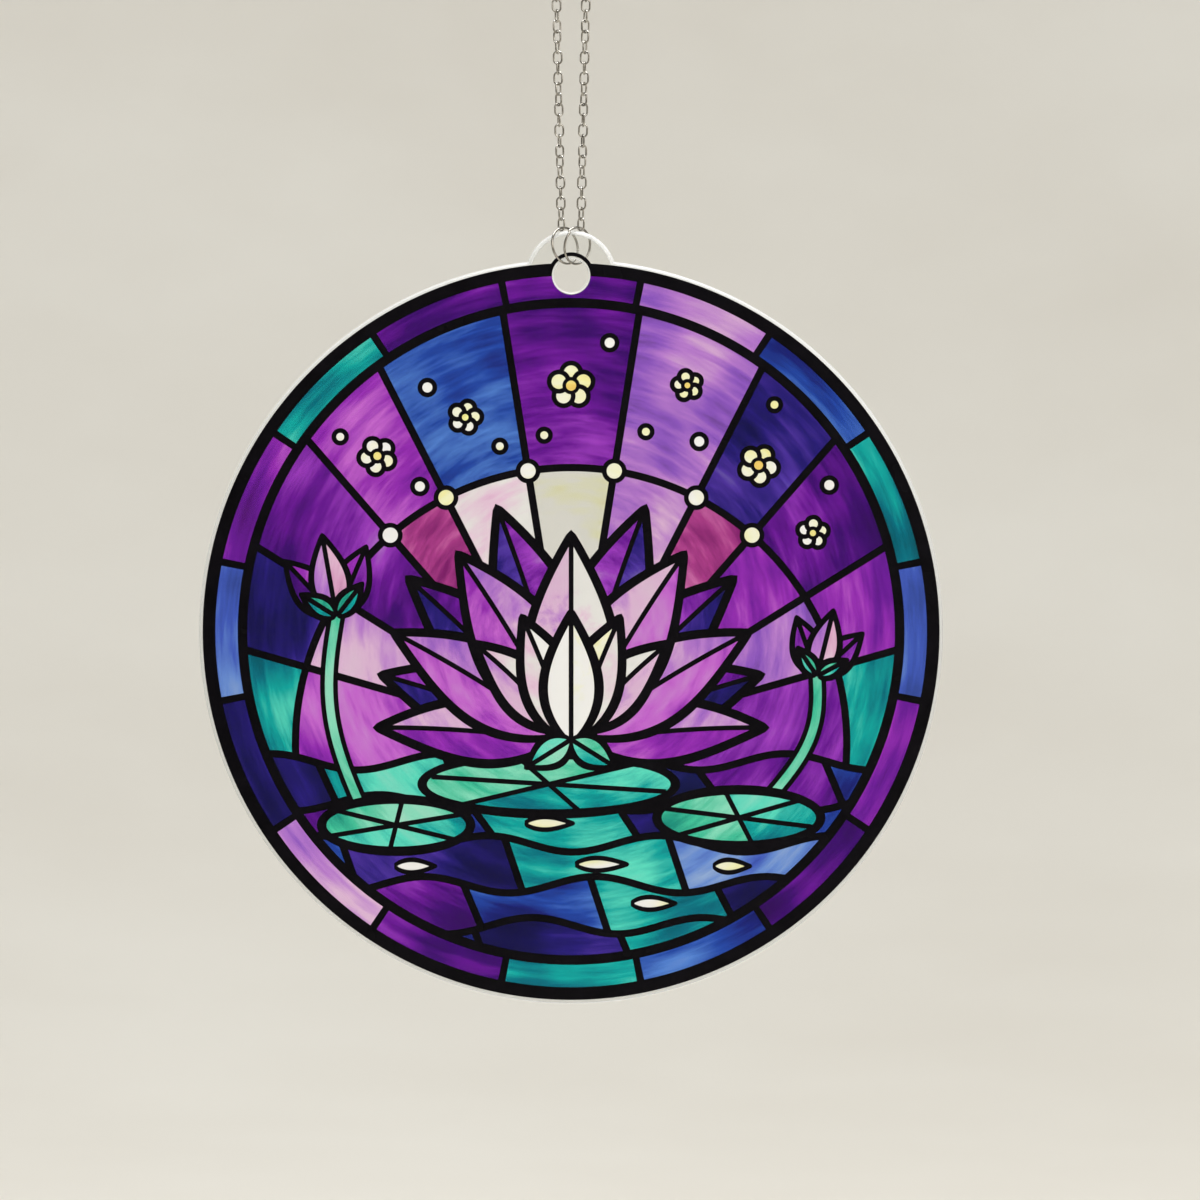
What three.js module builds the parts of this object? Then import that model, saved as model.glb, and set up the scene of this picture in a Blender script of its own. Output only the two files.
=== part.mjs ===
// Round acrylic suncatcher that hangs on a fine chain.
// Millimetres, +Z up, the picture faces -Y.
// The origin is the middle of the hook bar that the chain is laid over.
import * as THREE from "three";

// Panel: one clear sheet, a disc with a round tab that has the hanging hole
const DISC_RADIUS = 100;
const SHEET_THICKNESS = 3;
const TAB_RADIUS = 12.2;
const HOLE_RADIUS = 4.6;
const HOLE_ABOVE_DISC_CENTRE = 95.6;
const EDGE_BREAK = 0.5;

// Chain: oval links of round wire, one run from ring to ring over the hook bar
const LINK_COUNT = 50;
const LINK_LENGTH = 3.9;
const LINK_WIDTH = 2.7;
const LINK_WIRE = 0.5;
const LINK_PLAY = 0.1;
const HOOK_TURN_RADIUS = 4;
const STRAND_LEAN = THREE.MathUtils.degToRad(1.25);
const QUARTER_TURN = Math.PI / 2;
const TWIST_WAVES = 4;
const TWIST_SWING = THREE.MathUtils.degToRad(36);

// Jump rings: both pass through the hanging hole, side by side and parallel
const RING_RADIUS = 4.9;
const RING_WIRE = 0.65;
const RING_YAW = Math.PI / 4;
const RING_LEAN = THREE.MathUtils.degToRad(12);
const RING_CUT_ANGLE = THREE.MathUtils.degToRad(-52);
const RING_CUT_WIDTH = THREE.MathUtils.degToRad(2);
const RING_SPRUNG = 0.8;
const RING_CENTRE_ABOVE_HOLE = 8.1;

// Facets
const DISC_STEPS = 144;
const TAB_STEPS = 30;
const HOLE_STEPS = 36;
const LINK_STEPS = 12;
const LINK_SIDES = 5;
const RING_STEPS = 40;
const RING_SIDES = 8;

const acrylic = new THREE.MeshStandardMaterial({
  color: 0x6a3fa8,
  roughness: 0.08,
  metalness: 0,
  transparent: true,
  opacity: 0.6,
});
const silver = new THREE.MeshStandardMaterial({ color: 0xb9b6ae, roughness: 0.25, metalness: 1 });

// Points on a circle from one angle to another, both ends included
function arcPoints(centreX, centreY, radius, from, to, steps) {
  const points = [];
  for (let i = 0; i <= steps; i += 1) {
    const angle = from + ((to - from) * i) / steps;
    points.push(new THREE.Vector2(centreX + radius * Math.cos(angle), centreY + radius * Math.sin(angle)));
  }
  return points;
}

// Outline of the sheet around the centre of the disc: round the disc, then over the tab
function sheetOutline() {
  const rise = HOLE_ABOVE_DISC_CENTRE;
  const meetHeight = (DISC_RADIUS ** 2 - TAB_RADIUS ** 2 + rise ** 2) / (2 * rise);
  const meetX = Math.sqrt(DISC_RADIUS ** 2 - meetHeight ** 2);
  const discAngle = Math.atan2(meetHeight, meetX);
  const tabAngle = Math.atan2(meetHeight - rise, meetX);
  const disc = arcPoints(0, 0, DISC_RADIUS, Math.PI - discAngle, 2 * Math.PI + discAngle, DISC_STEPS);
  const tab = arcPoints(0, rise, TAB_RADIUS, tabAngle, Math.PI - tabAngle, TAB_STEPS);
  return [...disc, ...tab.slice(1, -1)];
}

function makePanel() {
  const outline = new THREE.Shape(sheetOutline());
  const hole = arcPoints(0, HOLE_ABOVE_DISC_CENTRE, HOLE_RADIUS, 0, 2 * Math.PI, HOLE_STEPS).slice(0, -1);
  outline.holes.push(new THREE.Path(hole.reverse()));
  const geometry = new THREE.ExtrudeGeometry(outline, {
    depth: SHEET_THICKNESS - 2 * EDGE_BREAK,
    bevelThickness: EDGE_BREAK,
    bevelSize: EDGE_BREAK,
    bevelOffset: -EDGE_BREAK,
    bevelSegments: 1,
  });
  geometry.translate(0, -HOLE_ABOVE_DISC_CENTRE, EDGE_BREAK - SHEET_THICKNESS / 2);
  const panel = new THREE.Mesh(geometry, acrylic);
  panel.name = "acrylic_panel";
  panel.rotation.x = QUARTER_TURN;
  return panel;
}

// Centreline of a jump ring around its own Y axis, from one side of the cut to the other.
// The angle is counted from the top, and the wire is sprung sideways, so the cut ends miss each other.
class RingCurve extends THREE.Curve {
  getPoint(t, target = new THREE.Vector3()) {
    const sweep = 2 * Math.PI - RING_CUT_WIDTH;
    const angle = RING_CUT_ANGLE + RING_CUT_WIDTH / 2 + sweep * t;
    const sideways = RING_SPRUNG * (0.5 - t);
    return target.set(RING_RADIUS * Math.sin(angle), sideways, RING_RADIUS * Math.cos(angle));
  }
}

function makeRing(name) {
  const section = new THREE.Shape(arcPoints(0, 0, RING_WIRE / 2, 0, 2 * Math.PI, RING_SIDES).slice(0, -1));
  const geometry = new THREE.ExtrudeGeometry(section, {
    steps: RING_STEPS,
    bevelEnabled: false,
    extrudePath: new RingCurve(),
  });
  const ring = new THREE.Mesh(geometry, silver);
  ring.name = name;
  ring.rotation.z = QUARTER_TURN - RING_YAW;
  return ring;
}

// Centreline of one oval link in its own XZ plane: two straight sides and two half-round ends
class LinkCurve extends THREE.Curve {
  getPoint(t, target = new THREE.Vector3()) {
    const bend = (LINK_WIDTH - LINK_WIRE) / 2;
    const straight = LINK_LENGTH - LINK_WIRE - 2 * bend;
    const bendLength = Math.PI * bend;
    const along = (t % 1) * 2 * (straight + bendLength);
    const side = along < straight + bendLength ? 1 : -1;
    const travelled = side > 0 ? along : along - straight - bendLength;
    if (travelled < straight) {
      return target.set(side * bend, 0, side * (travelled - straight / 2));
    }
    const angle = (travelled - straight) / bend;
    return target.set(side * bend * Math.cos(angle), 0, side * (straight / 2 + bend * Math.sin(angle)));
  }
}

const LINK_PITCH = LINK_LENGTH - 2 * LINK_WIRE - LINK_PLAY;
const TURN_LENGTH = HOOK_TURN_RADIUS * (Math.PI + 2 * STRAND_LEAN);
const STRAND_LENGTH = (LINK_COUNT * LINK_PITCH - TURN_LENGTH) / 2;
const STRAND_FOOT_X = HOOK_TURN_RADIUS * Math.cos(STRAND_LEAN) - STRAND_LENGTH * Math.sin(STRAND_LEAN);
const STRAND_FOOT_Z = -HOOK_TURN_RADIUS * Math.sin(STRAND_LEAN) - STRAND_LENGTH * Math.cos(STRAND_LEAN);

// Path of the chain in the XZ plane: up the left strand, over the hook bar, down the right strand
function chainPath() {
  const path = new THREE.Path();
  path.moveTo(-STRAND_FOOT_X, STRAND_FOOT_Z);
  path.lineTo(
    -HOOK_TURN_RADIUS * Math.cos(STRAND_LEAN),
    -HOOK_TURN_RADIUS * Math.sin(STRAND_LEAN),
  );
  path.absarc(0, 0, HOOK_TURN_RADIUS, Math.PI + STRAND_LEAN, -STRAND_LEAN, true);
  path.lineTo(STRAND_FOOT_X, STRAND_FOOT_Z);
  return path;
}

// Each link lies between two joints of the chain. Neighbours stand square to each other,
// and the whole chain twists slowly one way and back.
function makeChain() {
  const chain = new THREE.Group();
  const geometry = new THREE.TubeGeometry(new LinkCurve(), LINK_STEPS, LINK_WIRE / 2, LINK_SIDES, true);
  const joints = chainPath().getSpacedPoints(LINK_COUNT);
  const back = new THREE.Vector3(0, 1, 0);
  for (let i = 0; i < LINK_COUNT; i += 1) {
    const start = new THREE.Vector3(joints[i].x, 0, joints[i].y);
    const end = new THREE.Vector3(joints[i + 1].x, 0, joints[i + 1].y);
    const along = end.clone().sub(start).normalize();
    const across = back.clone().cross(along);
    const twist = TWIST_SWING * Math.sin((2 * Math.PI * TWIST_WAVES * i) / (LINK_COUNT - 1));
    const roll = i * QUARTER_TURN - RING_YAW + twist;
    const wide = across.applyAxisAngle(along, roll);
    const link = new THREE.Mesh(geometry, silver);
    link.name = `chain_link_${String(i + 1).padStart(2, "0")}`;
    link.position.addVectors(start, end).multiplyScalar(0.5);
    link.quaternion.setFromRotationMatrix(
      new THREE.Matrix4().makeBasis(wide, along.clone().cross(wide), along),
    );
    chain.add(link);
  }
  return chain;
}

// Where the chain's first joint sits in a ring's top arc
const RING_TOP_X = STRAND_FOOT_X;
const RING_TOP_Z = STRAND_FOOT_Z + RING_WIRE / 2 + LINK_PLAY;
const RING_CENTRE_X = RING_TOP_X - RING_RADIUS * Math.sin(RING_LEAN);
const RING_CENTRE_Z = RING_TOP_Z - RING_RADIUS * Math.cos(RING_LEAN);

// A ring on each side. The left one is the right one turned half round, so the two stay parallel.
function placeRing(ring, halfTurns) {
  const leaning = new THREE.Group();
  leaning.position.set(RING_CENTRE_X, 0, RING_CENTRE_Z);
  leaning.rotation.y = RING_LEAN;
  leaning.add(ring);
  const side = new THREE.Group();
  side.rotation.z = halfTurns * Math.PI;
  side.add(leaning);
  return side;
}

const suncatcher = new THREE.Group();
suncatcher.name = "suncatcher";
const panel = makePanel();
panel.position.z = RING_CENTRE_Z - RING_CENTRE_ABOVE_HOLE;
suncatcher.add(panel);
suncatcher.add(placeRing(makeRing("left_ring"), 1));
suncatcher.add(placeRing(makeRing("right_ring"), 0));
suncatcher.add(makeChain());

export default suncatcher;
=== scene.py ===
# Looks of a round acrylic suncatcher: clear panel, printed stained-glass picture, jump rings and chain.
import math

import bpy
import numpy as np
from mathutils import Matrix, Vector
from mathutils.geometry import delaunay_2d_cdt


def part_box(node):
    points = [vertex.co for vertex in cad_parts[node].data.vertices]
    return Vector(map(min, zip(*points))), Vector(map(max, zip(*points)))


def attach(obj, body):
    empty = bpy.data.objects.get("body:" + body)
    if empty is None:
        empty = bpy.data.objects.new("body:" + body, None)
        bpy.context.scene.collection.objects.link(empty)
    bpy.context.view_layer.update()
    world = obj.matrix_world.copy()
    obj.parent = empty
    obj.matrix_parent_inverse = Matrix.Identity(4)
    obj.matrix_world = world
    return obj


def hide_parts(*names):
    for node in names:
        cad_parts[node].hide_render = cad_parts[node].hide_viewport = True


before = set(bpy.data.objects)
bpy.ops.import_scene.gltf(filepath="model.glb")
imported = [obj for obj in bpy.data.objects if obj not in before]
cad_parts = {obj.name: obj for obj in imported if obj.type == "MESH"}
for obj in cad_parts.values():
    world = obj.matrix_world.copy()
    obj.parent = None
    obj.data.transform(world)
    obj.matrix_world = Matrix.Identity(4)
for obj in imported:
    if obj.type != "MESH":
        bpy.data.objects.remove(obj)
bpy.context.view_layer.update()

# Sizes are in millimetres, and the picture's angles are in degrees. Its places are complex numbers
# around the disc's centre, with the real part to the right and the imaginary part up.
MM = 0.001

# Panel
DISC_RADIUS = 100.0
SHEET_THICKNESS = 3.0
TAB_RADIUS = 12.2
HOLE_RADIUS = 4.6
HOLE_RISE = 95.6
EDGE_ROUND = 1.25
HOLE_ROUND = 0.5
EDGE_STEPS = 5
DISC_STEPS = 480
TAB_STEPS = 96
HOLE_STEPS = 120
ACRYLIC_IOR = 1.49

# Print: two thin films on the front face, one of black lines and one of coloured cells
FILM_THICKNESS = 0.06
FILM_GAP = 0.01
PRINT_RADIUS = 98.9
BORDER_OUTER = 95.5
BORDER_INNER = 89.5
WINDOW_RADIUS = 86.9
HOLE_CLEARANCE = 0.05

# Widths of the black lines: between cells, around petals and pads, for veins and small shapes
LEAD = 2.0
OUTLINE = 2.6
FINE = 1.3

# Black collar over the top of the hanging hole, as far as COLLAR_TURN to either side
COLLAR_WIDTH = 1.1
COLLAR_TURN = 86
COLLAR_START = 0.5

# How the shapes of the print are cut: a cell smaller than SLIVER square millimetres becomes black line
SLIVER = 1.6
CUT_TOLERANCE = 0.0001
TRIANGLES_INSIDE_LOOPS = 1

# Points of drawn curves; WEDGE_STEP is in degrees times millimetres of radius
CIRCLE_STEPS_PER_MM = 8
CIRCLE_LEAST_STEPS = 24
WEDGE_STEP = 40.0
WEDGE_LEAST_STEPS = 4
WAVE_STEP = 2.0
WAVE_LEAST_POINTS = 8
PETAL_POINTS = 48
STEM_POINTS = 24

# Inks: their looks with light behind them where they are deep, usual and pale, and how clear they are
INKS = {
    "violet": ((64, 8, 116), (108, 22, 154), (156, 62, 192), 0.9),
    "magenta": ((108, 26, 156), (150, 46, 182), (192, 102, 206), 0.9),
    "lilac": ((142, 88, 194), (182, 124, 206), (216, 176, 222), 0.9),
    "rose": ((128, 30, 112), (168, 62, 142), (204, 120, 180), 0.9),
    "blush": ((202, 150, 188), (224, 184, 206), (240, 216, 222), 0.7),
    "indigo": ((20, 16, 84), (38, 26, 122), (82, 52, 164), 0.9),
    "navy": ((10, 16, 62), (24, 26, 96), (54, 50, 138), 0.9),
    "royal": ((26, 34, 122), (36, 72, 168), (84, 128, 206), 0.9),
    "sky": ((66, 90, 186), (104, 138, 208), (158, 178, 226), 0.9),
    "teal": ((4, 108, 130), (14, 162, 162), (94, 208, 192), 0.9),
    "mint": ((30, 146, 132), (66, 186, 158), (136, 220, 190), 0.9),
    "clear": ((206, 190, 158), (224, 212, 184), (238, 230, 210), 0.95),
    "cream": ((226, 206, 148), (240, 226, 180), (250, 242, 214), 0.4),
    "pearl": ((234, 224, 206), (244, 238, 224), (252, 248, 240), 0.4),
    "gold": ((206, 168, 84), (222, 188, 108), (238, 212, 146), 0.4),
}
INK_GAIN = (1.48, 1.53, 1.5)
INK_BRIGHTEST = 0.98
INK_IOR = 1.2

# Tone of an ink: streaks around the disc, clouds, a step from cell to cell, paler towards the centre.
# PALE_SLOPE is per metre, and TONE_PLACES are the places of its five tones from darkest to palest.
SWIRL_RINGS_PER_METRE = 260.0
SWIRL_TURNS = 2.6
STREAK_SHARE = 0.38
CLOUD_SHARE = 0.62
CELL_SHARE = 0.12
PALE_RADIUS = 70.0
PALE_SLOPE = 1.3
DARKENED = 0.4
PALED = 0.3
TONE_PLACES = (0.3, 0.4, 0.5, 0.61, 0.75)
BLACK = (0, 0, 0, 1)
WHITE = (1, 1, 1, 1)

# Most values of a noise lie between these
NOISE_LOW = 0.3
NOISE_HIGH = 0.7

# Border: the inks of its cells, clockwise from the top
BORDER_INKS = (
    "violet", "lilac", "royal", "teal", "sky", "magenta", "violet", "royal",
    "teal", "violet", "lilac", "indigo", "sky", "magenta", "teal", "violet",
)

# Sky: rays from the foot of the water lily, to either side of straight up, and inks from left to right
LILY = -30j
RAY_ANGLES = (9, 27, 41, 58, 74, 112)
RAY_START = 8.0
RAY_END = 140.0
SKY_START = 6.0
HALO_RADIUS = 74.0
HALO_START = -25
HALO_END = 205
HALO_STEPS = 160
PEARL_RADIUS = 2.7
PEARLS_WITHIN = 45
OUTER_INKS = (
    "teal", "indigo", "violet", "magenta", "royal", "violet",
    "lilac", "indigo", "violet", "magenta", "teal",
)
INNER_INKS = (
    "magenta", "lilac", "violet", "rose", "blush", "clear",
    "lilac", "rose", "magenta", "lilac", "violet",
)

# Water: rows of slanted cells between waves
WATER_LEVELS = (-35.0, -46.0, -57.0, -68.0, -79.0, -95.0)
WATER_CELL_WIDTHS = (34.0, 39.0, 44.0)
WATER_CELLS_PER_SIDE = 4
WATER_SHIFT = 13.0
WATER_SLANT = 5.0
WATER_REACH = 95.0
WAVE_HEIGHT = 2.2
WAVE_LENGTH = 46.0
WAVE_SHIFT = 0.37
WATER_INKS = ("royal", "indigo", "teal", "sky", "navy", "violet", "royal", "teal", "indigo")
WATER_INK_STEP = 4

# Petals: at a share t of the length, the width has the share sin(pi * t ** PETAL_BELLY) ** PETAL_POINT
PETAL_BELLY = 0.8
PETAL_POINT = 0.95

# Water lily: rows of petals on both sides, each with its angle from upright, length and width
LILY_CUP = 4.0
LILY_BEND = 4
LILY_ROWS = (
    ("indigo", "violet", ((66, 54, 20), (41, 62, 22), (14, 66, 23))),
    ("magenta", "lilac", ((81, 52, 17), (54, 56, 21), (27, 59, 23))),
    ("lilac", "blush", ((38, 37, 14),)),
)

# Heart of the water lily: angle, length, width, bend and inks of each petal
HEART_PETALS = (
    (0, 56, 24, 0, ("lilac", "blush")),
    (-18, 36, 15, -2, ("blush", "cream")),
    (18, 36, 15, 2, ("cream", "blush")),
    (0, 35, 15, 0, ("pearl", "cream")),
)
SEPAL_BASE = LILY + 1j
SEPAL_ANGLE = 122
SEPAL_LENGTH = 14
SEPAL_WIDTH = 8
SEPAL_OUTLINE = 1.9

# Buds: foot and top of the stem, lean of the flower, its size and how far the stem sways to the right
BUDS = (
    (-56 - 48j, -63 + 4j, -10, 22, -5),
    (52 - 46j, 66 - 12j, 14, 18, 5),
)
STEM_WIDTH = 2.2
BUD_OUTLINE = 1.7

# Petals of a bud: angle, length and width as shares of its size, and inks
BUD_PETALS = (
    (-33, 0.92, 0.46, ("violet", "magenta")),
    (33, 0.92, 0.46, ("magenta", "violet")),
    (0, 1.0, 0.46, ("lilac", "blush")),
    (-48, 0.5, 0.24, ("teal", "mint")),
    (48, 0.5, 0.24, ("mint", "teal")),
)

# Lily pads: centre, half width, half height and the turn of the vein where the paler half starts
PADS = (
    (-47 - 52j, 20, 7, 25),
    (45 - 50j, 22, 7.5, 100),
    (-6 - 41j, 34, 8, 45),
)
PAD_STEP = 5
VEIN_STEP = 60
VEIN_REACH = 0.96

# Blossoms: angle from upright over the water lily, distance from it and size
BLOSSOMS = (
    (0, 96, 6.2),
    (-18, 92, 4.6),
    (34, 90, 5.6),
    (-34, 93, 5.2),
    (18, 101, 4.2),
    (49, 86, 4.4),
)
BLOSSOM_TURN = 15
BLOSSOM_PETALS = 5
BLOSSOM_HEART_OUTLINE = 1.0

# Parts of a blossom, as shares of its size
BLOSSOM_PETAL_OUT = 0.56
BLOSSOM_PETAL_RADIUS = 0.42
BLOSSOM_HEART_RADIUS = 0.3

# Sparks: angle from upright over the water lily and distance from it; two kinds take turns
SPARKS = (
    (-5, 83), (5.5, 108), (-13.5, 82), (-22, 103), (13.5, 86),
    (23, 88), (31, 106), (-30.5, 80), (-37, 103), (45, 98),
)
SPARK_KINDS = ((1.7, "cream"), (2.0, "pearl"))

# Glints on the water: middle and length
GLINTS = (
    (-6 - 51.5j, 13),
    (8 - 62.5j, 14),
    (-42 - 63j, 11),
    (22 - 73j, 12),
    (43 - 63j, 10),
)
GLINT_WIDTH = 3.4

# Chain; corners that agree in POINT_DECIMALS decimals of a metre count as one
LINK_LENGTH = 3.9
LINK_WIDTH = 2.7
LINK_WIRE = 0.5
LINK_SIDES = 12
LINK_BEND_STEPS = 19
POINT_DECIMALS = 7

# Jump rings; RING_TOP_X is where the chain holds the right one
RING_RADIUS = 4.9
RING_WIRE = 0.65
RING_YAW = math.radians(45)
RING_LEAN = math.radians(12)
RING_CUT_ANGLE = math.radians(-52)
RING_CUT_WIDTH = math.radians(2)
RING_SPRUNG = 0.8
RING_CENTRE_ABOVE_HOLE = 8.1
RING_TOP_X = 2.611
RING_SIDES = 20
RING_STEPS = 120

# Stage and the dark card beside the camera
FLOOR_BELOW_DISC = 250.0
FLOOR_RADIUS = 700.0
WALL_ROUND = 2400.0
WALL_STEPS = 24
STAGE_STEPS = 96
CARD_Y = -800.0
CARD_NEAR_X = 190.0
CARD_FAR_X = 1500.0
CARD_ABOVE_DISC = 1500.0

# Room light and camera
ROOM_COLOUR = (0.95, 0.97, 1.0, 1)
ROOM_STRENGTH = 0.95
VIEW_FIELD = 322.6
VIEW_RIGHT_OF_DISC = 7.75
VIEW_ABOVE_DISC = 8.45
LENS = 120.0
SENSOR = 36.0
CLIP_START = 10.0
CLIP_END = 50000.0

_, panel_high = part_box("acrylic_panel")
HOLE_Z = panel_high.z / MM - TAB_RADIUS
DISC_Z = HOLE_Z - HOLE_RISE
DISC_CENTRE = Vector((0, 0, DISC_Z)) * MM


# Meshes

def add_mesh(name, vertices, faces, materials, face_materials=None, smooth=False):
    """A new object with that mesh, in millimetres; smooth is one value or one for each face."""
    mesh = bpy.data.meshes.new(name)
    mesh.from_pydata((np.asarray(vertices, float) * MM).tolist(), [], faces)
    for material in materials:
        mesh.materials.append(material)
    if face_materials is not None:
        mesh.polygons.foreach_set("material_index", np.asarray(face_materials, np.int32))
    mesh.polygons.foreach_set("use_smooth", np.full(len(faces), smooth))
    mesh.update()
    obj = bpy.data.objects.new(name, mesh)
    bpy.context.scene.collection.objects.link(obj)
    return obj


def add_piece(obj, slot, *nodes):
    """Makes the object a part of the suncatcher that stands for those nodes."""
    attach(obj, "root")
    if nodes:
        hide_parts(*nodes)


def ring_faces(low, high, count):
    """Faces between two rings of vertices, given the number of each ring's first vertex."""
    steps = [(i, (i + 1) % count) for i in range(count)]
    return [(low + i, high + i, high + j, low + j) for i, j in steps]


# Materials

def srgb(red, green, blue):
    """A colour given as it looks on a screen, 0 to 255, as a linear colour for a shader."""
    parts = [c / 255 for c in (red, green, blue)]
    return [p / 12.92 if p <= 0.04045 else ((p + 0.055) / 1.055) ** 2.4 for p in parts] + [1.0]


def mixed(colour, other, share):
    """A colour moved towards another one by a share of the way."""
    return [a + (b - a) * share for a, b in zip(colour, other)]


class Shader:
    """A new material with its Principled shader, and short ways to add nodes to it."""

    def __init__(self, name, **values):
        self.material = bpy.data.materials.new(name)
        self.material.use_nodes = True
        self.tree = self.material.node_tree
        self.principled = self.tree.nodes["Principled BSDF"]
        for socket, value in values.items():
            self.principled.inputs[socket.replace("_", " ")].default_value = value

    def node(self, kind, inputs=(), **settings):
        """Adds a node; inputs are pairs of a socket and either a value or another node's output."""
        node = self.tree.nodes.new("ShaderNode" + kind)
        for key, value in settings.items():
            setattr(node, key, value)
        for socket, value in inputs:
            if isinstance(value, bpy.types.NodeSocket):
                self.tree.links.new(value, node.inputs[socket])
            else:
                node.inputs[socket].default_value = value
        return node

    def link(self, output, socket):
        """Joins a node's output to a socket of the Principled shader."""
        self.tree.links.new(output, self.principled.inputs[socket])

    def place(self):
        """Where the shaded point is, in metres in the part's frame."""
        return self.node("TexCoord").outputs["Object"]

    def math(self, operation, *values):
        return self.node("Math", list(enumerate(values)), operation=operation).outputs["Value"]

    def vector(self, operation, *values):
        return self.node("VectorMath", list(enumerate(values)), operation=operation).outputs["Vector"]

    def length(self, vector):
        return self.node("VectorMath", [(0, vector)], operation="LENGTH").outputs["Value"]

    def noise(self, place, scale, detail=3.0, roughness=0.55):
        """Cloudy values around a half; at a place in metres, the scale is in clouds per metre."""
        inputs = [("Vector", place), ("Scale", scale), ("Detail", detail), ("Roughness", roughness)]
        return self.node("TexNoise", inputs).outputs["Fac"]

    def colour(self, factor, *stops):
        """Base colour from a ramp through stops of a place and a colour."""
        node = self.node("ValToRGB", [("Fac", factor)])
        elements = node.color_ramp.elements
        while len(elements) < len(stops):
            elements.new(0.5)
        for element, (place, colour) in zip(elements, stops):
            element.position = place
            element.color = colour
        self.link(node.outputs["Color"], "Base Color")

    def cloudy_colour(self, noise, dark, light):
        self.colour(noise, (NOISE_LOW, dark), (NOISE_HIGH, light))

    def cloudy_roughness(self, noise, low, high):
        inputs = [("From Min", NOISE_LOW), ("From Max", NOISE_HIGH), ("To Min", low), ("To Max", high)]
        self.link(self.node("MapRange", [("Value", noise), *inputs]).outputs["Result"], "Roughness")

    def bump(self, height, strength, distance):
        """Makes the surface look uneven, over a distance in millimetres."""
        inputs = [("Height", height), ("Strength", strength), ("Distance", distance * MM)]
        self.link(self.node("Bump", inputs).outputs["Normal"], "Normal")


def clear_acrylic():
    """Cast sheet: clear, polished and very slightly wavy."""
    shader = Shader("clear_acrylic", Roughness=0.02, IOR=ACRYLIC_IOR, Transmission_Weight=1.0)
    place = shader.place()
    tint = shader.noise(place, scale=20.0)
    shader.cloudy_colour(tint, dark=(0.955, 0.975, 0.97, 1), light=(0.985, 0.99, 0.985, 1))
    shader.bump(shader.noise(place, scale=45.0, detail=1.0), strength=0.04, distance=1.0)
    return shader.material


def cut_edge():
    """Edge left by the laser: half frosted, with fine streaks across the sheet's thickness."""
    shader = Shader("cut_edge", Roughness=0.18, IOR=ACRYLIC_IOR, Transmission_Weight=0.62)
    drawn_out = shader.vector("MULTIPLY", shader.place(), (1, 0.05, 1))
    streaks = shader.noise(drawn_out, scale=1800.0, detail=2.0)
    shader.cloudy_colour(streaks, dark=(0.9, 0.93, 0.93, 1), light=(0.98, 0.98, 0.98, 1))
    shader.bump(streaks, strength=0.25, distance=0.2)
    return shader.material


def black_lines():
    """Black print: dense, with a satin gloss that varies a little."""
    shader = Shader("black_lines", Specular_IOR_Level=0.06)
    place = shader.place()
    shader.cloudy_colour(shader.noise(place, scale=160.0), dark=srgb(5, 4, 7), light=srgb(12, 10, 15))
    shader.cloudy_roughness(shader.noise(place, scale=60.0), low=0.16, high=0.3)
    shader.bump(shader.noise(place, scale=2500.0, detail=2.0), strength=0.05, distance=0.1)
    return shader.material


def ink_colour(look):
    """Colour of the ink itself: brighter than its look, as the light behind it is dimmer than white."""
    return [min(INK_BRIGHTEST, gain * part) for gain, part in zip(INK_GAIN, srgb(*look))] + [1.0]


def ink_tone(shader, place):
    """Unevenness of an ink: soft streaks around the disc's centre, and paler towards it."""
    outward = shader.vector("SUBTRACT", place, DISC_CENTRE)
    flat = shader.vector("MULTIPLY", outward, (1, 0, 1))
    radius = shader.length(flat)
    turned = shader.vector("MULTIPLY", shader.vector("NORMALIZE", flat), (SWIRL_TURNS,) * 3)
    rings = shader.math("MULTIPLY", radius, SWIRL_RINGS_PER_METRE)
    swirl = shader.vector("ADD", turned, shader.node("CombineXYZ", [("Y", rings)]).outputs["Vector"])
    streaks = shader.noise(swirl, scale=1.0, detail=4.0, roughness=0.6)
    clouds = shader.noise(place, scale=28.0, detail=2.0)
    cloudy = shader.math("MULTIPLY", clouds, CLOUD_SHARE)
    uneven = shader.math("MULTIPLY_ADD", streaks, STREAK_SHARE, cloudy)
    cell = shader.math("SUBTRACT", shader.node("NewGeometry").outputs["Random Per Island"], 0.5)
    varied = shader.math("MULTIPLY_ADD", cell, CELL_SHARE, uneven)
    inward = shader.math("SUBTRACT", PALE_RADIUS * MM, radius)
    return shader.math("MULTIPLY_ADD", inward, PALE_SLOPE, varied)


def coloured_ink(name):
    """See-through print in the tones of one ink."""
    *looks, clear = INKS[name]
    deep, usual, pale = map(ink_colour, looks)
    tones = (mixed(deep, BLACK, DARKENED), deep, usual, pale, mixed(pale, WHITE, PALED))
    shader = Shader("ink_" + name, IOR=INK_IOR, Transmission_Weight=clear)
    place = shader.place()
    shader.colour(ink_tone(shader, place), *zip(TONE_PLACES, tones))
    shader.cloudy_roughness(shader.noise(place, scale=90.0), low=0.06, high=0.14)
    return shader.material


def silver_wire():
    """Plated wire: bright, with fine drawing marks and a few duller patches."""
    shader = Shader("silver_wire", Metallic=1.0)
    place = shader.place()
    patches = shader.noise(place, scale=420.0)
    shader.colour(patches, (0.35, srgb(134, 130, 123)), (0.65, srgb(186, 182, 174)))
    shader.cloudy_roughness(shader.noise(place, scale=900.0), low=0.1, high=0.22)
    shader.bump(shader.noise(place, scale=5000.0, detail=2.0), strength=0.06, distance=0.1)
    return shader.material


def matt_paper(name, roughness, dark, light):
    """Matt paper with faint clouds."""
    shader = Shader(name, Roughness=roughness)
    shader.cloudy_colour(shader.noise(shader.place(), scale=3.0), dark, light)
    return shader.material


def pale_stage():
    return matt_paper("pale_stage", roughness=0.85, dark=srgb(228, 223, 212), light=srgb(234, 230, 220))


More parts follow.
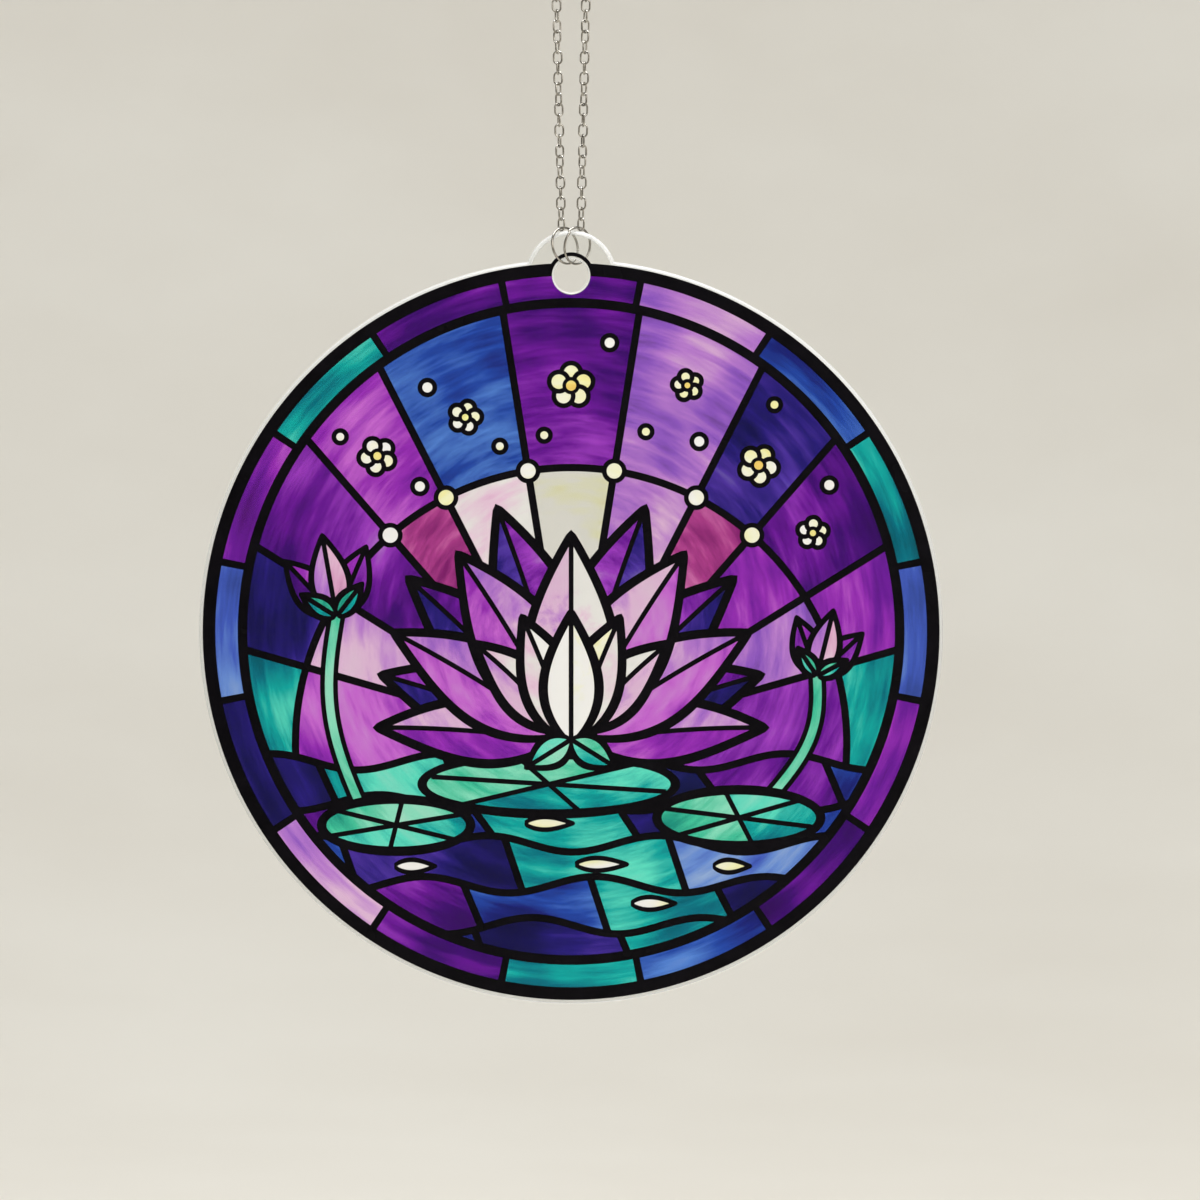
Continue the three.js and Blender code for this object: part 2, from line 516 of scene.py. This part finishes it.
def dark_card():
    return matt_paper("dark_card", roughness=0.9, dark=srgb(34, 33, 32), light=srgb(42, 41, 40))


# Outlines

def arc(centre, radius, start, end, steps):
    """Points on a circle from one angle to another, in radians anticlockwise from the right."""
    return centre + radius * np.exp(1j * np.linspace(start, end, steps + 1))


def circle(centre, radius, steps=None):
    count = steps or max(CIRCLE_LEAST_STEPS, int(radius * CIRCLE_STEPS_PER_MM))
    return arc(centre, radius, 0, 2 * math.pi, count)[:-1]


def sheet_outline(inset):
    """Edge of the sheet, drawn in by inset: round the disc, then over the tab."""
    disc = DISC_RADIUS - inset
    tab = TAB_RADIUS - inset
    meet_up = (disc ** 2 - tab ** 2 + HOLE_RISE ** 2) / (2 * HOLE_RISE)
    meet_right = math.sqrt(disc ** 2 - meet_up ** 2)
    on_disc = math.atan2(meet_up, meet_right)
    on_tab = math.atan2(meet_up - HOLE_RISE, meet_right)
    around = arc(0, disc, math.pi - on_disc, 2 * math.pi + on_disc, DISC_STEPS)
    over = arc(1j * HOLE_RISE, tab, on_tab, math.pi - on_tab, TAB_STEPS)
    return np.concatenate([around, over[1:-1]])


def hole_outline(inset):
    """Edge of the hanging hole, widened by inset, turning the other way than the sheet's edge."""
    return circle(1j * HOLE_RISE, HOLE_RADIUS + inset, HOLE_STEPS)[::-1]


def cut(loops):
    """Cuts overlapping loops up; returns corners, triangles and the loops that cover each triangle."""
    points, faces = [], []
    for loop in loops:
        anticlockwise = (loop.conj() * np.roll(loop, -1)).imag.sum() > 0
        ordered = loop if anticlockwise else loop[::-1]
        faces.append(list(range(len(points), len(points) + len(ordered))))
        points.extend(Vector((p.real, p.imag)) for p in ordered)
    result = delaunay_2d_cdt(points, [], faces, TRIANGLES_INSIDE_LOOPS, CUT_TOLERANCE, True)
    corners, _, triangles, _, _, covering = result
    return np.array([complex(c.x, c.y) for c in corners]), triangles, covering


# Clear panel

def edge_profile(rounding):
    """Pairs of inset and depth from the front face round the edge to the back face."""
    turns = np.linspace(0, math.pi / 2, EDGE_STEPS + 1)
    front = [
        (rounding * (1 - math.sin(turn)), rounding * (1 - math.cos(turn)) - SHEET_THICKNESS / 2)
        for turn in turns
    ]
    return front + [(inset, -depth) for inset, depth in reversed(front)]


def add_wall(vertices, faces, outline, rounding):
    """Adds a rounded wall along an outline; returns its vertices on the front and on the back face."""
    first = len(vertices)
    profile = edge_profile(rounding)
    for inset, depth in profile:
        vertices.extend((p.real, depth, p.imag + DISC_Z) for p in outline(inset))
    count = (len(vertices) - first) // len(profile)
    starts = range(first, len(vertices), count)
    for low, high in zip(starts, starts[1:]):
        faces.extend(ring_faces(low, high, count))
    return [list(range(start, start + count)) for start in (starts[0], starts[-1])]


def make_panel():
    """A rounded wall along the sheet's edge and another along the hole, closed by two flat faces."""
    vertices, faces = [], []
    outer_front, outer_back = add_wall(vertices, faces, sheet_outline, EDGE_ROUND)
    inner_front, inner_back = add_wall(vertices, faces, hole_outline, HOLE_ROUND)
    wall_faces = len(faces)
    corners, triangles, covering = cut([sheet_outline(EDGE_ROUND), hole_outline(HOLE_ROUND)])
    sheet = [t for t, over in zip(triangles, covering) if list(over) == [0]]
    for rim, order in ((outer_front + inner_front, 1), (outer_back + inner_back, -1)):
        places = np.array([complex(vertices[v][0], vertices[v][2] - DISC_Z) for v in rim])
        match = [rim[np.abs(places - corner).argmin()] for corner in corners]
        faces += [tuple(match[c] for c in triangle[::order]) for triangle in sheet]
    on_wall = [i < wall_faces for i in range(len(faces))]
    panel = add_mesh("clear_panel", vertices, faces, [clear_acrylic(), cut_edge()], on_wall, on_wall)
    add_piece(panel, "clear_acrylic", "acrylic_panel")


# Printed picture: shapes laid over each other, later ones on top

def edges(triangle):
    """Pairs of corners in order around a triangle."""
    a, b, c = triangle
    return (a, b), (b, c), (c, a)


def islands(triangles):
    """Groups of triangles that hang together by their edges."""
    beside = {}
    for i, triangle in enumerate(triangles):
        for edge in edges(triangle):
            beside.setdefault(frozenset(edge), []).append(i)
    waiting, groups = set(range(len(triangles))), []
    while waiting:
        group, front = [], [waiting.pop()]
        while front:
            triangle = triangles[front.pop()]
            group.append(triangle)
            for edge in edges(triangle):
                found = waiting.intersection(beside[frozenset(edge)])
                waiting -= found
                front += found
        groups.append(group)
    return groups


def area(corners, triangles):
    """Area of all those triangles together."""
    a, b, c = (corners[[t[i] for t in triangles]] for i in range(3))
    return 0.5 * np.abs(((b - a).conj() * (c - a)).imag).sum()


class Picture:
    """Flat shapes in the order in which they are laid, each with its ink."""

    def __init__(self):
        self.loops, self.inks, self.framed = [], [], []

    def lay(self, loop, ink, framed=True):
        """Adds a shape, or a gap where the ink is None; a framed one shows only inside the window."""
        self.loops.append(loop)
        self.inks.append(ink)
        self.framed.append(framed)

    def open_window(self):
        self.window = len(self.loops)
        self.lay(circle(0, WINDOW_RADIUS), "lines", framed=False)

    def films(self):
        """Corners, and for each ink the triangles where it is the topmost shape."""
        corners, triangles, covering = cut(self.loops)
        by_ink = {}
        for triangle, over in zip(triangles, covering):
            seen = [i for i in over if not self.framed[i] or self.window in over]
            ink = self.inks[max(seen)] if seen else None
            if ink:
                by_ink.setdefault(ink, []).append(triangle)
        for ink in [name for name in by_ink if name != "lines"]:
            cells = []
            for island in islands(by_ink[ink]):
                film = cells if area(corners, island) >= SLIVER else by_ink["lines"]
                film.extend(island)
            by_ink[ink] = cells
        return corners, by_ink


def strip(path, width):
    """Band of that width along a path."""
    ahead = np.gradient(path)
    side = 0.5j * width * ahead / np.abs(ahead)
    return np.concatenate([path - side, (path + side)[::-1]])


def line(start, end):
    return np.array([start, (start + end) / 2, end])


def upward(angle):
    """Direction turned clockwise from straight up by an angle."""
    return 1j * np.exp(-1j * math.radians(angle))


def over_lily(angle, distance):
    """Place at a distance from the water lily's foot, at an angle clockwise from straight up."""
    return LILY + distance * upward(angle)


def wedge(centre, inner, outer, start, end):
    """Part of a ring between two angles clockwise from straight up."""
    steps = max(WEDGE_LEAST_STEPS, int(abs(end - start) * outer / WEDGE_STEP))
    near = arc(centre, inner, math.radians(90 - start), math.radians(90 - end), steps)
    far = arc(centre, outer, math.radians(90 - end), math.radians(90 - start), steps)
    return np.concatenate([near, far])


def petal_sides(base, angle, length, width, bend, grow):
    """Left edge, axis and right edge of a petal, with its edge moved outwards by grow."""
    tip = 1 + max(grow, 0) / length
    along = np.linspace(0, tip, PETAL_POINTS)
    half = 0.5 * width * np.sin(math.pi * np.clip(along, 0, 1) ** PETAL_BELLY) ** PETAL_POINT
    if grow > 0:
        half = half + grow * np.sqrt(np.clip((tip - along) / (tip - 1), 0, 1))
    else:
        half = half + grow
        along, half = along[half > 0], half[half > 0]
    direction = upward(angle)
    axis = base + direction * (length * along - 1j * bend * along ** 2)
    ahead = direction * (length - 2j * bend * along)
    right = -1j * ahead / np.abs(ahead) * half
    return axis - right, axis, axis + right


def lay_petal(picture, base, angle, length, width, inks, bend=0, outline=OUTLINE):
    """A petal with a dark outline and a vein between two tones."""
    left, vein, right = petal_sides(base, angle, length, width, bend, outline / 2)
    picture.lay(np.concatenate([left, right[-2::-1]]), "lines")
    left, axis, right = petal_sides(base, angle, length, width, bend, -outline / 2)
    picture.lay(np.concatenate([left, axis[::-1]]), inks[0])
    picture.lay(np.concatenate([axis, right[::-1]]), inks[1])
    picture.lay(strip(vein[:-2], FINE), "lines")


def lay_round(picture, centre, radius, ink, outline=FINE):
    """A round spot with a dark outline."""
    picture.lay(circle(centre, radius + outline / 2), "lines")
    picture.lay(circle(centre, radius - outline / 2), ink)


def lay_border(picture):
    """A black disc with a ring of cells, and the window that frames what is laid later."""
    picture.lay(circle(0, PRINT_RADIUS), "lines", framed=False)
    step = 360 / len(BORDER_INKS)
    gap = math.degrees(LEAD / 2 / BORDER_OUTER)
    for i, ink in enumerate(BORDER_INKS):
        start = (i - 0.5) * step
        cell = wedge(0, BORDER_INNER, BORDER_OUTER, start + gap, start + step - gap)
        picture.lay(cell, ink, framed=False)
    picture.open_window()


def lay_sky(picture):
    """Rays out of the water lily, crossed by one halo with pearls where they meet."""
    angles = [-a for a in reversed(RAY_ANGLES)] + list(RAY_ANGLES)
    for start, end, outer, inner in zip(angles, angles[1:], OUTER_INKS, INNER_INKS):
        picture.lay(wedge(LILY, HALO_RADIUS, RAY_END, start, end), outer)
        picture.lay(wedge(LILY, SKY_START, HALO_RADIUS, start, end), inner)
    for angle in angles:
        ray = line(over_lily(angle, RAY_START), over_lily(angle, RAY_END))
        picture.lay(strip(ray, LEAD), "lines")
    halo = arc(LILY, HALO_RADIUS, math.radians(HALO_START), math.radians(HALO_END), HALO_STEPS)
    picture.lay(strip(halo, LEAD), "lines")
    for angle in angles:
        if abs(angle) < PEARLS_WITHIN:
            lay_round(picture, over_lily(angle, HALO_RADIUS), PEARL_RADIUS, "cream")


def wave(across, row):
    """Height of a row's upper edge."""
    turn = across / WAVE_LENGTH + WAVE_SHIFT * row
    return WATER_LEVELS[row] + WAVE_HEIGHT * np.sin(2 * math.pi * turn)


def wave_path(start, end, row):
    across = np.linspace(start, end, max(WAVE_LEAST_POINTS, int((end - start) / WAVE_STEP)))
    return across + 1j * wave(across, row)


def lay_water(picture):
    """Rows of cells with the lines between them, then the waves along the rows."""
    rows = range(len(WATER_LEVELS) - 1)
    for row in rows:
        width = WATER_CELL_WIDTHS[row % len(WATER_CELL_WIDTHS)]
        cells = np.arange(-WATER_CELLS_PER_SIDE, WATER_CELLS_PER_SIDE)
        starts = cells * width + (WATER_SHIFT * row) % width
        for i, start in enumerate(starts):
            top = wave_path(start, start + width, row)
            bottom = wave_path(start + WATER_SLANT, start + width + WATER_SLANT, row + 1)
            ink = WATER_INKS[(i + WATER_INK_STEP * row) % len(WATER_INKS)]
            picture.lay(np.concatenate([top, bottom[::-1]]), ink)
        for start in starts:
            foot = start + WATER_SLANT
            side = line(start + 1j * wave(start, row), foot + 1j * wave(foot, row + 1))
            picture.lay(strip(side, LEAD), "lines")
    for row in rows:
        picture.lay(strip(wave_path(-WATER_REACH, WATER_REACH, row), LEAD), "lines")


def on_oval(centre, wide, high, turn):
    """Points of an oval at turns anticlockwise from its right end."""
    return centre + wide * np.cos(np.radians(turn)) + 1j * high * np.sin(np.radians(turn))


def lay_pad(picture, centre, wide, high, first):
    """A lily pad seen at a slant, with one vein at the first turn, where its paler half starts."""
    around = np.arange(0, 360, PAD_STEP)
    half = np.arange(first, first + 180 + PAD_STEP, PAD_STEP)
    rim = OUTLINE / 2
    picture.lay(on_oval(centre, wide + rim, high + rim, around), "lines")
    picture.lay(on_oval(centre, wide - rim, high - rim, around), "teal")
    picture.lay(on_oval(centre, wide - rim, high - rim, half), "mint")
    for turn in range(first, first + 360, VEIN_STEP):
        end = on_oval(centre, VEIN_REACH * wide, VEIN_REACH * high, turn)
        picture.lay(strip(line(centre, end), FINE), "lines")


def lay_bud(picture, foot, top, lean, size, sway):
    """A closed flower on a stem that sways to one side."""
    rise = np.linspace(0, 1, STEM_POINTS)
    stem = foot + (top - foot) * rise + sway * np.sin(math.pi * rise)
    picture.lay(strip(stem, STEM_WIDTH + 2 * FINE), "lines")
    picture.lay(strip(stem, STEM_WIDTH), "mint")
    for angle, length, width, inks in BUD_PETALS:
        lay_petal(picture, top, lean + angle, size * length, size * width, inks, outline=BUD_OUTLINE)


def lay_lily(picture):
    """Rows of petals out of a small cup, from the back and the outside in, then heart and sepals."""
    for dark, bright, petals in LILY_ROWS:
        for angle, length, width in petals:
            for side, inks in ((-1, (dark, bright)), (1, (bright, dark))):
                turn = side * angle
                foot = over_lily(turn, LILY_CUP)
                lay_petal(picture, foot, turn, length - LILY_CUP, width, inks, bend=LILY_BEND * side)
    for angle, length, width, bend, inks in HEART_PETALS:
        lay_petal(picture, LILY, angle, length, width, inks, bend)
    for angle in (-SEPAL_ANGLE, SEPAL_ANGLE):
        inks = ("mint", "teal")
        lay_petal(picture, SEPAL_BASE, angle, SEPAL_LENGTH, SEPAL_WIDTH, inks, outline=SEPAL_OUTLINE)


def lay_blossom(picture, centre, size, turn):
    """A small flower with round petals."""
    for i in range(BLOSSOM_PETALS):
        out = upward(turn + 360 / BLOSSOM_PETALS * i)
        place = centre + BLOSSOM_PETAL_OUT * size * out
        lay_round(picture, place, BLOSSOM_PETAL_RADIUS * size, "cream")
    lay_round(picture, centre, BLOSSOM_HEART_RADIUS * size, "gold", outline=BLOSSOM_HEART_OUTLINE)


def lay_glint(picture, centre, length):
    """A short light on the water."""
    for grow, ink in ((FINE / 2, "lines"), (-FINE / 2, "cream")):
        left, _, right = petal_sides(
            centre - length / 2, angle=90, length=length, width=GLINT_WIDTH, bend=0, grow=grow,
        )
        picture.lay(np.concatenate([left, right[::-1]]), ink)


def lay_small_lights(picture):
    """Blossoms and sparks in the sky, and glints on the water."""
    for i, (angle, distance, size) in enumerate(BLOSSOMS):
        lay_blossom(picture, over_lily(angle, distance), size, BLOSSOM_TURN * i)
    for i, (angle, distance) in enumerate(SPARKS):
        radius, ink = SPARK_KINDS[i % len(SPARK_KINDS)]
        lay_round(picture, over_lily(angle, distance), radius, ink)
    for centre, length in GLINTS:
        lay_glint(picture, centre, length)


def lay_hole(picture):
    """A black collar over the top of the hanging hole, and the hole itself without print."""
    hole = 1j * HOLE_RISE
    radius = HOLE_RADIUS + HOLE_ROUND
    collar = wedge(hole, COLLAR_START, radius + COLLAR_WIDTH, -COLLAR_TURN, COLLAR_TURN)
    picture.lay(collar, "lines", framed=False)
    picture.lay(circle(hole, radius + HOLE_CLEARANCE, HOLE_STEPS), None, framed=False)


def draw_picture():
    picture = Picture()
    lay_border(picture)
    lay_sky(picture)
    lay_water(picture)
    for bud in BUDS:
        lay_bud(picture, *bud)
    for pad in PADS:
        lay_pad(picture, *pad)
    lay_lily(picture)
    lay_small_lights(picture)
    lay_hole(picture)
    return picture


def make_film(name, corners, groups, materials):
    """A thin closed film in front of the panel; each material has a group of triangles."""
    used = sorted({c for group in groups for t in group for c in t})
    number = {c: i for i, c in enumerate(used)}
    back = -SHEET_THICKNESS / 2 - FILM_GAP
    front = back - FILM_THICKNESS
    places = [corners[c] for c in used]
    vertices = [(p.real, depth, p.imag + DISC_Z) for depth in (front, back) for p in places]
    behind = len(used)
    faces, kinds, sides = [], [], {}
    for kind, group in enumerate(groups):
        for triangle in group:
            a, b, c = (number[i] for i in triangle)
            faces += [(a, b, c), (a + behind, c + behind, b + behind)]
            kinds += [kind, kind]
            sides.update((edge, kind) for edge in edges((a, b, c)))
    for (a, b), kind in sides.items():
        if (b, a) not in sides:
            faces.append((b, a, a + behind, b + behind))
            kinds.append(kind)
    return add_mesh(name, vertices, faces, materials, kinds)


def make_print():
    """A film of black lines and a film of coloured cells, with a material for each ink."""
    corners, by_ink = draw_picture().films()
    lines = make_film("print_lines", corners, [by_ink.pop("lines")], [black_lines()])
    add_piece(lines, "print_lines")
    names = sorted(by_ink)
    inks = [coloured_ink(name) for name in names]
    colours = make_film("print_colours", corners, [by_ink[name] for name in names], inks)
    add_piece(colours, "print_colours")


# Wire

def make_wire(name, path, thickness, sides, closed, matrix, material):
    """A round wire along a path that lies nearly in its own XZ plane, put in place by a matrix."""
    if closed:
        ahead = np.roll(path, -1, 0) - np.roll(path, 1, 0)
    else:
        ahead = np.gradient(path, axis=0)
    ahead /= np.linalg.norm(ahead, axis=1)[:, None]
    sideways = np.array((0.0, 1.0, 0.0)) - ahead * ahead[:, 1:2]
    sideways /= np.linalg.norm(sideways, axis=1)[:, None]
    outward = np.cross(ahead, sideways)
    turns = np.linspace(0, 2 * math.pi, sides, endpoint=False)
    vertices = np.concatenate([
        p + thickness / 2 * (np.outer(np.cos(turns), o) + np.outer(np.sin(turns), s))
        for p, o, s in zip(path, outward, sideways)
    ])
    starts = list(range(0, len(vertices), sides))
    following = starts[1:] + starts[:1] if closed else starts[1:]
    faces = [face for low, high in zip(starts, following) for face in ring_faces(low, high, sides)]
    smooth = [True] * len(faces)
    if not closed:
        faces += [tuple(range(sides)), tuple(reversed(range(starts[-1], len(vertices))))]
        smooth += [False, False]
    wire = add_mesh(name, vertices, faces, [material], smooth=smooth)
    wire.data.transform(matrix)
    return wire


def link_path():
    """Centreline of one oval link: two straight sides and two half-round ends."""
    bend = (LINK_WIDTH - LINK_WIRE) / 2
    straight = LINK_LENGTH - LINK_WIRE - 2 * bend
    top = arc(0.5j * straight, bend, 0, math.pi, LINK_BEND_STEPS)
    loop = np.concatenate([top, -top])
    return np.stack([loop.real, np.zeros(len(loop)), loop.imag], 1)


def link_matrix(node):
    """Where a chain link of the frame lies: its middle, and its wide, thin and long directions."""
    corners = [v.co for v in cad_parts[node].data.vertices]
    points = np.unique(np.round(corners, POINT_DECIMALS), axis=0)
    middle = points.mean(0)
    _, axes = np.linalg.eigh(np.cov((points - middle).T))
    long, wide = axes[:, 2], axes[:, 1]
    turned = np.eye(4)
    turned[:3, :3] = np.stack([wide, np.cross(long, wide), long], 1)
    turned[:3, 3] = middle
    return Matrix(turned.tolist())


def make_chain(material):
    """A wire link in the place of each link of the frame."""
    for node in sorted(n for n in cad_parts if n.startswith("chain_link")):
        name = node.replace("chain_link", "silver_link")
        link = make_wire(name, link_path(), LINK_WIRE, LINK_SIDES, True, link_matrix(node), material)
        add_piece(link, "silver_wire", node)


def ring_path():
    """Centreline of a jump ring from one side of its cut to the other, sprung sideways."""
    along = np.linspace(0, 1, RING_STEPS + 1)
    angle = RING_CUT_ANGLE + RING_CUT_WIDTH / 2 + (2 * math.pi - RING_CUT_WIDTH) * along
    sideways = RING_SPRUNG * (0.5 - along)
    return np.stack([RING_RADIUS * np.sin(angle), sideways, RING_RADIUS * np.cos(angle)], 1)


def make_rings(material):
    """Both rings hang through the hole; the left one is the right one turned half round."""
    centre_x = RING_TOP_X - RING_RADIUS * math.sin(RING_LEAN)
    centre = Vector((centre_x, 0, HOLE_Z + RING_CENTRE_ABOVE_HOLE)) * MM
    turn = Matrix.Rotation(math.pi / 2 - RING_YAW, 4, "Z")
    leaning = Matrix.Translation(centre) @ Matrix.Rotation(RING_LEAN, 4, "Y") @ turn
    for node, halves in (("left_ring", 1), ("right_ring", 0)):
        matrix = Matrix.Rotation(halves * math.pi, 4, "Z") @ leaning
        ring = make_wire("silver_" + node, ring_path(), RING_WIRE, RING_SIDES, False, matrix, material)
        add_piece(ring, "silver_wire", node)


# Stage, light and camera

def make_stage():
    """A wide pale bowl whose floor lies below the hanging panel and rises into a round wall."""
    floor = DISC_Z - FLOOR_BELOW_DISC
    profile = [(0.0, floor), (FLOOR_RADIUS / 2, floor)]
    for turn in np.linspace(0, math.pi / 2, WALL_STEPS + 1):
        out = FLOOR_RADIUS + WALL_ROUND * math.sin(turn)
        up = floor + WALL_ROUND * (1 - math.cos(turn))
        profile.append((out, up))
    around = np.linspace(0, 2 * math.pi, STAGE_STEPS, endpoint=False)
    vertices = [(out * math.cos(a), out * math.sin(a), up) for out, up in profile for a in around]
    starts = range(0, len(vertices), STAGE_STEPS)
    faces = []
    for low, high in zip(starts, starts[1:]):
        faces += ring_faces(high, low, STAGE_STEPS)
    add_mesh("pale_stage", vertices, faces, [pale_stage()], smooth=True)


def make_dark_card():
    """A dark card left of the camera, seen in reflections alone, for dark lines in the bright wire."""
    low = DISC_Z - FLOOR_BELOW_DISC
    high = DISC_Z + CARD_ABOVE_DISC
    outline = ((CARD_FAR_X, low), (CARD_FAR_X, high), (CARD_NEAR_X, high), (CARD_NEAR_X, low))
    corners = [(-x, CARD_Y, z) for x, z in outline]
    card = add_mesh("dark_card", corners, [(0, 1, 2, 3)], [dark_card()])
    card.visible_camera = False
    card.visible_diffuse = False
    card.visible_transmission = False
    card.visible_shadow = False


def add_softbox(name, place, size, power, colour):
    """An area light that faces the panel."""
    light = bpy.data.lights.new(name, "AREA")
    light.shape = "RECTANGLE"
    light.size, light.size_y = (side * MM for side in size)
    light.energy = power
    light.color = colour
    softbox = bpy.data.objects.new(name, light)
    softbox.location = Vector(place) * MM
    softbox.rotation_euler = (DISC_CENTRE - softbox.location).to_track_quat("-Z", "Y").to_euler()
    softbox.visible_camera = False
    bpy.context.scene.collection.objects.link(softbox)


def light_scene():
    """An evenly lit room, a light over the panel for its upper edge and a warm one from the right."""
    world = bpy.data.worlds.new("pale_room")
    world.use_nodes = True
    background = world.node_tree.nodes["Background"]
    background.inputs["Color"].default_value = ROOM_COLOUR
    background.inputs["Strength"].default_value = ROOM_STRENGTH
    bpy.context.scene.world = world
    add_softbox("top_light", place=(70, -90, 420), size=(480, 260), power=3.4, colour=(1, 1, 1))
    warm = (1, 0.97, 0.93)
    add_softbox("key_light", place=(800, -1000, 450), size=(600, 600), power=4.5, colour=warm)
    bpy.context.scene.view_settings.view_transform = "Standard"


def add_camera():
    """Square to the panel, as in the photograph."""
    camera = bpy.data.cameras.new("camera")
    camera.lens = LENS
    camera.sensor_width = SENSOR
    camera.clip_start = CLIP_START * MM
    camera.clip_end = CLIP_END * MM
    view = bpy.data.objects.new("camera", camera)
    distance = VIEW_FIELD * LENS / SENSOR
    view.location = Vector((VIEW_RIGHT_OF_DISC, -distance, DISC_Z + VIEW_ABOVE_DISC)) * MM
    view.rotation_euler = (math.pi / 2, 0, 0)
    bpy.context.scene.collection.objects.link(view)
    bpy.context.scene.camera = view


make_panel()
make_print()
silver = silver_wire()
make_chain(silver)
make_rings(silver)
make_stage()
make_dark_card()
light_scene()
add_camera()
